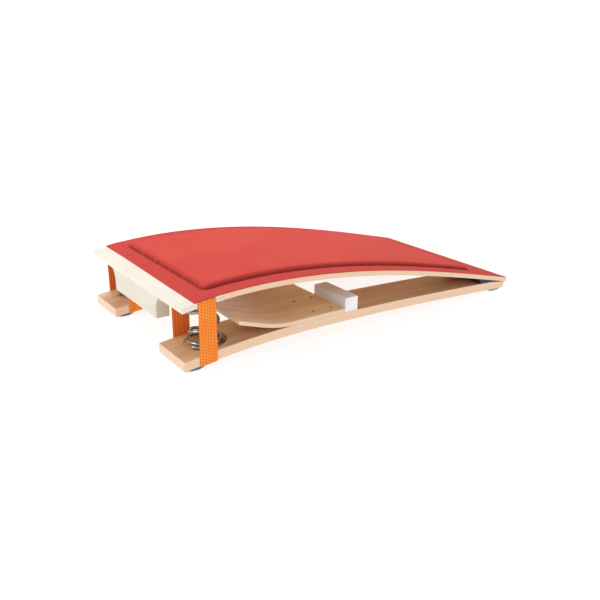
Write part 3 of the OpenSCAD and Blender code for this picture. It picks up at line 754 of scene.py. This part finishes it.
def make_cover(material, puff):
    """One sheet of cloth over border and pad. Its hem turns down and is tucked under."""
    xs = hemmed_lines(cover_lo.x, cover_hi.x)
    ys = hemmed_lines(cover_lo.y, cover_hi.y)
    gx, gy = np.meshgrid(xs, ys, indexing="ij")
    # the high end's hem lies a little askew
    across = np.clip((gy - cover_lo.y) / (SKEW_SHARE * (cover_hi.y - cover_lo.y)), 0, 1)
    shifted = gx + SKEW * across * np.clip(1 - (gx - cover_lo.x) / SKEW_LENGTH, 0, 1)
    top = deck_top(shifted) + cover_height(gx, gy, puff)
    verts = np.stack([shifted, gy, top], -1).reshape(-1, 3)

    columns, rows = len(xs), len(ys)
    faces = grid_faces(columns, rows)
    ring = ([k * rows for k in range(columns)]
            + [(columns - 1) * rows + k for k in range(1, rows)]
            + [k * rows + rows - 1 for k in range(columns - 2, -1, -1)]
            + list(range(rows - 2, 0, -1)))
    low = laid_on_deck(verts[ring])
    tuck = low.copy()
    tuck[:, 0] = np.clip(tuck[:, 0], cover_lo.x + TUCK_W, cover_hi.x - TUCK_W)
    tuck[:, 1] = np.clip(tuck[:, 1], cover_lo.y + TUCK_W, cover_hi.y - TUCK_W)
    base, n = len(verts), len(ring)
    for k in range(n):
        m = (k + 1) % n
        faces.append((ring[k], base + k, base + m, ring[m]))
        faces.append((base + k, base + n + k, base + n + m, base + m))
    cover = new_object("cloth_cover", np.concatenate([verts, low, laid_on_deck(tuck)]), faces, material)

    _, along = seam_distance(gx, gy)
    phase = np.zeros(len(cover.data.vertices), np.float32)
    phase[:along.size] = along.ravel() / STITCH
    cover.data.attributes.new("phase", "FLOAT", "POINT").data.foreach_set("value", phase)
    if cover.data.polygons[0].normal.z < 0:
        cover.data.flip_normals()
    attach(cover, "deck")
    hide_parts("cover", "foam_pad")


THREAD_R, THREAD_HALF, THREAD_SIDES = 0.45 * MM, 2.9 * MM, 6
THREAD_UP, THREAD_DIP = 0.1 * MM, 0.5 * MM
# along the stitch from its middle, and the thread's thickness there
THREAD_STATIONS = ((-1.0, 0.25), (-0.85, 0.8), (-0.4, 1.0), (0.4, 1.0), (0.85, 0.8), (1.0, 0.25))


def make_stitches(material, puff):
    """Short thread stitches sunk in the seam."""
    verts, faces = [], []
    for mirror_x in (1, -1):
        for mirror_y in (1, -1):
            for k in range(STITCHES):
                x, y, heading = seam_point((k + 0.5) * STITCH)
                dx, dy = math.cos(heading) * mirror_x, math.sin(heading) * mirror_y
                x, y = SEAM_X + x * mirror_x, y * mirror_y
                lift = float(cover_height(np.array([x]), np.array([y]), puff)[0]) + THREAD_UP
                faces += tube_faces(len(verts), len(THREAD_STATIONS), THREAD_SIDES)
                for t, fat in THREAD_STATIONS:
                    px, py = x + dx * THREAD_HALF * t, y + dy * THREAD_HALF * t
                    z = float(deck_top(px)) + lift - THREAD_DIP * t * t
                    for q in range(THREAD_SIDES):
                        a = TAU * q / THREAD_SIDES
                        side, up = THREAD_R * fat * math.cos(a), THREAD_R * fat * math.sin(a)
                        verts.append((px - dy * side, py + dx * side, z + up))
    stitches = new_object("seam_stitches", verts, faces, material)
    face_outward(stitches)
    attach(stitches, "deck")


# ---------------------------------------------------------------- pieces that bend between base and deck


def blend_whole_rings(obj, centres):
    real = np.array([v.co for v in obj.data.vertices], np.float32)
    obj.data.vertices.foreach_set("co", np.asarray(centres, np.float32).ravel())
    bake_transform(obj)
    obj.data.vertices.foreach_set("co", real.ravel())
    obj.data.update()


# the wire's path, as in the CAD
COIL_TURNS = 4.5
CLOSED_LOW, CLOSED_HIGH = 1.46, 0.65
ACTIVE_TURNS = COIL_TURNS - CLOSED_LOW - CLOSED_HIGH
WIRE_R = 4.5 * MM
R_LOW, R_HIGH = 49.5 * MM, 35.0 * MM
LOW_PITCH, HIGH_PITCH = 8.01 * MM, 3.0 * MM
START_ANGLE = math.radians(198)
LEAN = 8 * MM
SPRING_FROM_NOSE, SPRING_FROM_EDGE = 98 * MM, 76 * MM
SPRING_X, SPRING_Y = plate_lo.x + SPRING_FROM_NOSE, runner_lo.y + SPRING_FROM_EDGE
SLOPE_REACH = 25 * MM
TOP_SEAT_DEPTH, TOP_SEAT_GAP = 2.5 * MM, 0.3 * MM
LOW_WIRE_SHARE = 0.93
COIL_STEPS, COIL_SIDES = 40, 16
TANGENT_STEP = 0.01
# turns from the end of the wire, and the wire's thickness there
WIRE_END = ((0.0, 0.35), (0.002, 0.8), (0.006, 1.0))


def coil_centre(t, side, low_z, high_z, slope):
    """Middle of the wire after t turns, as in the CAD."""
    rise = high_z - low_z - CLOSED_LOW * LOW_PITCH - CLOSED_HIGH * HIGH_PITCH
    share = min(1.0, max(0.0, (t - CLOSED_LOW) / ACTIVE_TURNS))
    r = R_HIGH + (R_LOW - R_HIGH) * (1 - t / COIL_TURNS) ** 2
    a = START_ANGLE + TAU * t
    dx = r * math.cos(a)
    z = low_z + LOW_PITCH * min(t, CLOSED_LOW) + rise * share
    z += HIGH_PITCH * max(0.0, t - CLOSED_LOW - ACTIVE_TURNS)
    y = SPRING_Y + r * math.sin(a)
    return np.array([SPRING_X - LEAN * share + dx, y if side == LEFT else -y, z + share * slope * dx])


def make_coil(name, side, material):
    """Round wire with ground ends, closed turns at both ends and open ones between."""
    lo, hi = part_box(f"coil_spring_{name}")
    slope = float(deck_top(SPRING_X + SLOPE_REACH) - deck_top(SPRING_X - SLOPE_REACH)) / (2 * SLOPE_REACH)
    low_z = lo.z + WIRE_R * LOW_WIRE_SHARE
    high_z = float(deck_under(SPRING_X - LEAN)) + TOP_SEAT_DEPTH - TOP_SEAT_GAP - WIRE_R

    def centre(t):
        return coil_centre(t, side, low_z, high_z, slope)

    stations = list(WIRE_END)
    stations += [(i / COIL_STEPS, 1.0) for i in range(1, int(COIL_TURNS * COIL_STEPS))]
    stations += [(COIL_TURNS - t, fat) for t, fat in reversed(WIRE_END)]
    centres, verts = [], []
    for t, fat in stations:
        p = centre(t)
        along = centre(min(t + TANGENT_STEP, COIL_TURNS)) - centre(max(t - TANGENT_STEP, 0))
        along /= np.linalg.norm(along)
        across = np.cross([0, 0, 1], along)
        across /= np.linalg.norm(across)
        up = np.cross(along, across)
        for k in range(COIL_SIDES):
            a = TAU * k / COIL_SIDES
            verts.append(p + WIRE_R * fat * (math.cos(a) * across + math.sin(a) * up))
            centres.append(p)
    faces = tube_faces(0, len(stations), COIL_SIDES)
    coil = new_object(f"steel_coil_{name}", verts, faces, material)
    face_outward(coil)
    mid_y = (lo.y + hi.y) / 2
    start = (SPRING_X, mid_y, centre(CLOSED_LOW)[2])
    blend_whole_rings(coil, centres)
    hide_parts(f"coil_spring_{name}")


STRAP_T = 2.5 * MM
STRAP_BEND_R = 4.0 * MM
STRAP_GAP = 0.3 * MM
STRAP_COLUMNS = 41
LEG_POINTS, RUN_POINTS, BEND_POINTS = 26, 22, 6
GROOVE_OUTSIDE, GROOVE_INSIDE = 0.15 * MM, 0.3 * MM
SELVEDGE, SELVEDGE_LOW = 0.03, 0.05


def strap_outline(outer_y, inner_y, bottom, top, side):
    """The loop's outer face at one place across the webbing: rows of y, z and the direction outward."""
    r = STRAP_BEND_R
    o, i = outer_y - side * r, inner_y + side * r

    def bend(y, z, quarter):
        angles = np.linspace(quarter * math.pi / 2, (quarter + 1) * math.pi / 2, BEND_POINTS)[1:]
        return [(y + side * r * math.cos(a), z + r * math.sin(a), side * math.cos(a), math.sin(a))
                for a in angles]

    points = [(outer_y, z, side, 0) for z in np.linspace(bottom + r, top - r, LEG_POINTS)]
    points += bend(o, top - r, 0)
    points += [(y, top, 0, 1) for y in np.linspace(o, i, RUN_POINTS)[1:]]
    points += bend(i, top - r, 1)
    points += [(inner_y, z, -side, 0) for z in np.linspace(top - r, bottom + r, LEG_POINTS)[1:]]
    points += bend(i, bottom + r, 2)
    points += [(y, bottom, 0, -1) for y in np.linspace(i, o, RUN_POINTS)[1:]]
    points += bend(o, bottom + r, 3)[:-1]
    return np.array(points)


def strap_sink(w, outer):
    """How far a face of the webbing lies inside the loop's outline, for a share w of its width."""
    groove = 0.5 + 0.5 * math.cos(TAU * RIBS * w)
    sink = GROOVE_OUTSIDE * groove if outer else STRAP_T - GROOVE_INSIDE * groove
    hem = min(1.0, min(w, 1 - w) / SELVEDGE)
    if hem < 1:
        sink = STRAP_T / 2 + (sink - STRAP_T / 2) * math.sqrt(max(SELVEDGE_LOW, hem))
    return sink


def make_strap(name, side, material):
    """Ribbed webbing sewn into a loop: up outside the foot, over the plate, down inside and under."""
    lo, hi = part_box(f"strap_{name}")
    outer_y, inner_y = (lo.y, hi.y) if side == LEFT else (hi.y, lo.y)
    widths = np.linspace(0, 1, STRAP_COLUMNS)
    xs = lo.x + (hi.x - lo.x) * widths
    bottoms = runner_under(xs) - STRAP_GAP - STRAP_T
    tops = deck_top(np.maximum(xs, cover_lo.x)) - STRAP_GAP
    outlines = [strap_outline(outer_y, inner_y, bottom, top, side) for bottom, top in zip(bottoms, tops)]
    verts, weave = [], []
    for outer in (True, False):
        for w, x, p in zip(widths, xs, outlines):
            steps = np.hypot(np.diff(p[:, 0]), np.diff(p[:, 1]))
            along = np.concatenate([[0], np.cumsum(steps)])
            sink = strap_sink(w, outer)
            for (y, z, out_y, out_z), length in zip(p, along):
                verts.append((x, y - out_y * sink, z - out_z * sink))
                weave.append((w, length, float(outer)))
    n, m = len(outlines[0]), STRAP_COLUMNS
    inner, last = m * n, (m - 1) * n
    faces = []
    for k in range(n):
        q = (k + 1) % n
        for a in range(0, last, n):
            b = a + n
            faces.append((a + k, b + k, b + q, a + q))
            faces.append((inner + a + k, inner + a + q, inner + b + q, inner + b + k))
        faces.append((k, q, inner + q, inner + k))
        faces.append((last + q, last + k, inner + last + k, inner + last + q))
    strap = new_object(f"webbing_{name}", verts, faces, material)
    face_outward(strap)
    attribute = strap.data.attributes.new("weave", "FLOAT_VECTOR", "POINT")
    attribute.data.foreach_set("vector", np.array(weave, np.float32).ravel())
    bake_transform(strap)
    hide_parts(f"strap_{name}")


WEDGE_PINCH = 1.6 * MM
WEDGE_ROUND, WEDGE_END_SHARE = 0.8 * MM, 0.965
WEDGE_LEVELS, WEDGE_COLUMNS = 9, 13


def make_wedge(name, material):
    """The rubber wedge: bulging ends with two moulded grooves, and rounded edges."""
    node = f"wedge_{name}"
    lo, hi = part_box(node)
    co = corners(node)
    co = co[np.abs(co[:, 1] - lo.y) < ON_PLANE]
    low_xs = co[co[:, 2] < runner_under(co[:, 0]) + RUNNER_T + ON_PLANE][:, 0]
    a0, a1 = low_xs.min(), low_xs.max()
    levels = np.linspace(0, 1, WEDGE_LEVELS)
    columns = np.linspace(0, 1, WEDGE_COLUMNS)

    def surface(u, v):
        xa = a0 + (lo.x - a0) * v
        xb = a1 + (hi.x - a1) * v
        pinch = WEDGE_PINCH * math.sin(math.pi * v) * (0.65 + 0.35 * math.cos(2 * TAU * v))
        x = (xa + pinch) + (xb - xa - 2 * pinch) * u
        z0 = float(runner_under(x)) + RUNNER_T
        z1 = float(deck_under(x))
        return x, z0 + (z1 - z0) * v

    outline = [surface(u, 0) for u in columns] + [surface(1, v) for v in levels[1:]]
    outline += [surface(u, 1) for u in columns[::-1][1:]] + [surface(0, v) for v in levels[::-1][1:-1]]
    n = len(outline)
    cx, cz = np.mean(outline, 0)
    sections = ((lo.y, WEDGE_END_SHARE), (lo.y + WEDGE_ROUND, 1.0),
                (hi.y - WEDGE_ROUND, 1.0), (hi.y, WEDGE_END_SHARE))
    verts = [(cx + (x - cx) * k, y, cz + (z - cz) * k) for y, k in sections for x, z in outline]
    faces = tube_faces(0, len(sections), n)
    wedge = new_object(f"rubber_wedge_{name}", verts, faces, material)
    face_outward(wedge)
    add_modifier(wedge, "WEIGHTED_NORMAL", weight=60)
    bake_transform(wedge)
    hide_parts(node)


# ---------------------------------------------------------------- screws

SCREW_SPOKES = 48
# the cross recess: half its arms' width and their reach, as shares of the head's radius, and their turn
ARM_HALF, ARM_REACH, ARM_TURN = 0.17, 0.6, 0.6


def cross_share(a):
    """The edge of the cross recess in the direction a, as a share of the head's radius."""
    phi = (a + ARM_TURN + math.pi / 4) % (math.pi / 2) - math.pi / 4
    if abs(math.tan(phi)) * ARM_REACH < ARM_HALF:
        return ARM_REACH / math.cos(phi)
    return ARM_HALF / abs(math.sin(phi))


def round_share(_):
    return 1.0


def make_screws(node, body, name, material, facing_up, proud):
    """Countersunk cross-head wood screws, their heads domed so far above the surface."""
    verts, faces = [], []
    for lo, hi in islands(node):
        cx, cy = (lo.x + hi.x) / 2, (lo.y + hi.y) / 2
        head_r = (hi.x - lo.x) / 2
        top, up = (hi.z, 1) if facing_up else (lo.z, -1)
        length = abs(hi.z - lo.z)
        # outline, its scale, depth below the surface and dome, from the recess over the head to the tip
        profile = (
            (cross_share, 0.45, 1.9 * MM, 0),
            (cross_share, 1.0, 0.15 * MM, proud),
            (cross_share, 1.06, 0, proud),
            (round_share, 0.75, 0, proud),
            (round_share, 0.86, 0, proud),
            (round_share, 0.96, 0, proud),
            (round_share, 1.0, 0.3 * MM, 0),
            (round_share, 0.55, 3.0 * MM, 0),
            (round_share, 0.5, 3.4 * MM, 0),
            (round_share, 0.48, length - 4 * MM, 0),
            (round_share, 0.06, length, 0),
        )
        first = len(verts)
        for outline, scale, depth, dome in profile:
            for k in range(SCREW_SPOKES):
                a = TAU * k / SCREW_SPOKES
                share = scale * outline(a)
                lift = dome * max(0.0, 1 - share ** 2)
                r = share * head_r
                verts.append((cx + r * math.cos(a), cy + r * math.sin(a), top + up * (lift - depth)))
        faces += tube_faces(first, len(profile), SCREW_SPOKES)
    screws = new_object(name, verts, faces, material)
    face_outward(screws)
    add_modifier(screws, "WEIGHTED_NORMAL", weight=60)
    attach(screws, body)
    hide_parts(node)


# ---------------------------------------------------------------- building the board

# each board's number of layers, and its painted light and shade: how much lighter or darker its faces are
# painted than the deck's
RUNNER_LAYERS, RUNNER_PAINTED_SHADE = 17, (0.84, 0.84, 0.82)
LEAF_LAYERS, LEAF_PAINTED_LIGHT = 9, (1.24, 1.45, 1.5)
DECK_LAYERS, DECK_PAINTED_LIGHT = 11, (1.0, 1.0, 1.0)
LEAF_SCREW_DOME, BLOCK_SCREW_DOME = 3.5 * MM, 0.0

runner_ply = plywood("runner_ply", runner_line, RUNNER_T, RUNNER_LAYERS, RUNNER_PAINTED_SHADE)
leaf_ply = plywood("leaf_ply", leaf_line, LEAF_T, LEAF_LAYERS, LEAF_PAINTED_LIGHT)
deck_ply = plywood("deck_ply", under_line, DECK_T, DECK_LAYERS, DECK_PAINTED_LIGHT)
ivory = ivory_coat("ivory_coat", rgb(232, 224, 210), rgb(226, 217, 202))
# the nose block's coat is a darker copy of the plate's: painted shade on the block
shaded_ivory_block = ivory_coat("shaded_ivory_block", rgb(219, 210, 193), rgb(212, 202, 184))
cloth = red_cloth()
thread = seam_thread()
webbing = orange_webbing()
chrome = chrome_wire()
zinc = plated_steel("zinc_steel", rgb(168, 169, 172), rgb(132, 133, 138), 0.26, 0.42)
screw_steel = plated_steel("screw_steel", rgb(214, 212, 208), rgb(170, 166, 160), 0.1, 0.2)
foam = white_foam()
black_rubber = rubber("black_rubber", rgb(58, 58, 60), rgb(34, 34, 36), 3.0 * MM)
grey_rubber = rubber("grey_rubber", rgb(104, 108, 114), rgb(78, 82, 88), 4.0 * MM)
pale_rubber = rubber("pale_rubber", rgb(164, 170, 176), rgb(140, 146, 152), 4.0 * MM)

# CAD node, material and the width of its rounded edges
DRESSED = (
    ("runner_left", runner_ply, 0.9 * MM),
    ("runner_right", runner_ply, 0.9 * MM),
    ("leaf_spring", leaf_ply, 0.8 * MM),
    ("deck_board", deck_ply, 0.6 * MM),
    ("end_plate", ivory, 0.8 * MM),
    ("nose_block", shaded_ivory_block, 2.0 * MM),
    ("bump_block_left", foam, 1.4 * MM),
    ("bump_block_right", foam, 1.4 * MM),
    ("foot_pad_left", grey_rubber, 0.5 * MM),
    ("foot_pad_right", grey_rubber, 0.5 * MM),
    ("heel_pad_left", pale_rubber, 0.5 * MM),
    ("heel_pad_right", pale_rubber, 0.5 * MM),
    ("hinge_bolts", zinc, 0.5 * MM),
    ("hinge_nuts", zinc, 0.5 * MM),
    ("hinge_washers", zinc, 0.3 * MM),
)
for node, material, bevel in DRESSED:
    dress(node, material, bevel)

cover_puff = puffed_sheet()
make_cover(cloth, cover_puff)
make_stitches(thread, cover_puff)
for name, side in SIDES.items():
    make_coil(name, side, chrome)
    make_strap(name, side, webbing)
    make_wedge(name, black_rubber)
make_screws("leaf_screws", "base", "leaf_screw_set", screw_steel, True, LEAF_SCREW_DOME)
make_screws("block_screws", "base", "block_screw_set", zinc, False, BLOCK_SCREW_DOME)

# ---------------------------------------------------------------- floor and light

FLOOR_R, FLOOR_SIDES = 25.0, 64
FLOOR_Z = -0.5 * MM
FLOOR_PALE, FLOOR_PALER = (0.25, 0.25, 0.25, 1.0), (0.27, 0.27, 0.27, 1.0)
FLOOR_GLOW = 0.81
# where the sky changes, as the sine of the elevation, and its strength below and above
SKY_LOW, SKY_HIGH = (0.05, 1.18), (0.2, 0.68)
# name, place, what it shines at, size, power
LIGHTS = (
    ("key", (0.1, 1.3, 3.1), (0, 0, 0.1), 1.4, 49),
    ("fill", (-3.0, 0.8, 1.8), (-0.4, 0, 0.05), 1.6, 28),
    ("front", (-0.5, -3.2, 0.8), (0, 0, 0.05), 1.6, 9),
)


def make_floor():
    s = Shader("pale_floor", Emission_Color=WHITE, Emission_Strength=FLOOR_GLOW)
    material = s.finish(s.mix(s.fade(s.noise(0.8, 2.0), 0.2, 0.8), FLOOR_PALE, FLOOR_PALER), 0.9)
    b = bmesh.new()
    bmesh.ops.create_circle(b, cap_ends=True, segments=FLOOR_SIDES, radius=FLOOR_R)
    mesh = bpy.data.meshes.new("floor")
    b.to_mesh(mesh)
    b.free()
    mesh.materials.append(material)
    floor = add_object("floor", mesh)
    floor.location = (0, 0, FLOOR_Z)


def make_world():
    """White light all round, strongest along the floor."""
    world = bpy.data.worlds.new("studio")
    world.use_nodes = True
    nodes, links = world.node_tree.nodes, world.node_tree.links
    sky = nodes.new("ShaderNodeTexCoord")
    height = nodes.new("ShaderNodeSeparateXYZ")
    level = nodes.new("ShaderNodeMapRange")
    for end, (at, strength) in (("Min", SKY_LOW), ("Max", SKY_HIGH)):
        level.inputs[f"From {end}"].default_value = at
        level.inputs[f"To {end}"].default_value = strength
    background = nodes["Background"]
    background.inputs["Color"].default_value = WHITE
    links.new(sky.outputs["Generated"], height.inputs[0])
    links.new(height.outputs["Z"], level.inputs["Value"])
    links.new(level.outputs["Result"], background.inputs["Strength"])
    bpy.context.scene.world = world


def make_light(name, place, aim, size, power):
    data = bpy.data.lights.new(name, "AREA")
    data.shape = "DISK"
    data.size = size
    data.energy = power
    light = add_object(name, data)
    light.location = place
    light.rotation_mode = "QUATERNION"
    light.rotation_quaternion = (Vector(aim) - Vector(place)).to_track_quat("-Z", "Y")


make_floor()
make_world()
for light in LIGHTS:
    make_light(*light)
bpy.context.scene.view_settings.view_transform = "Standard"
bpy.context.scene.view_settings.look = "None"
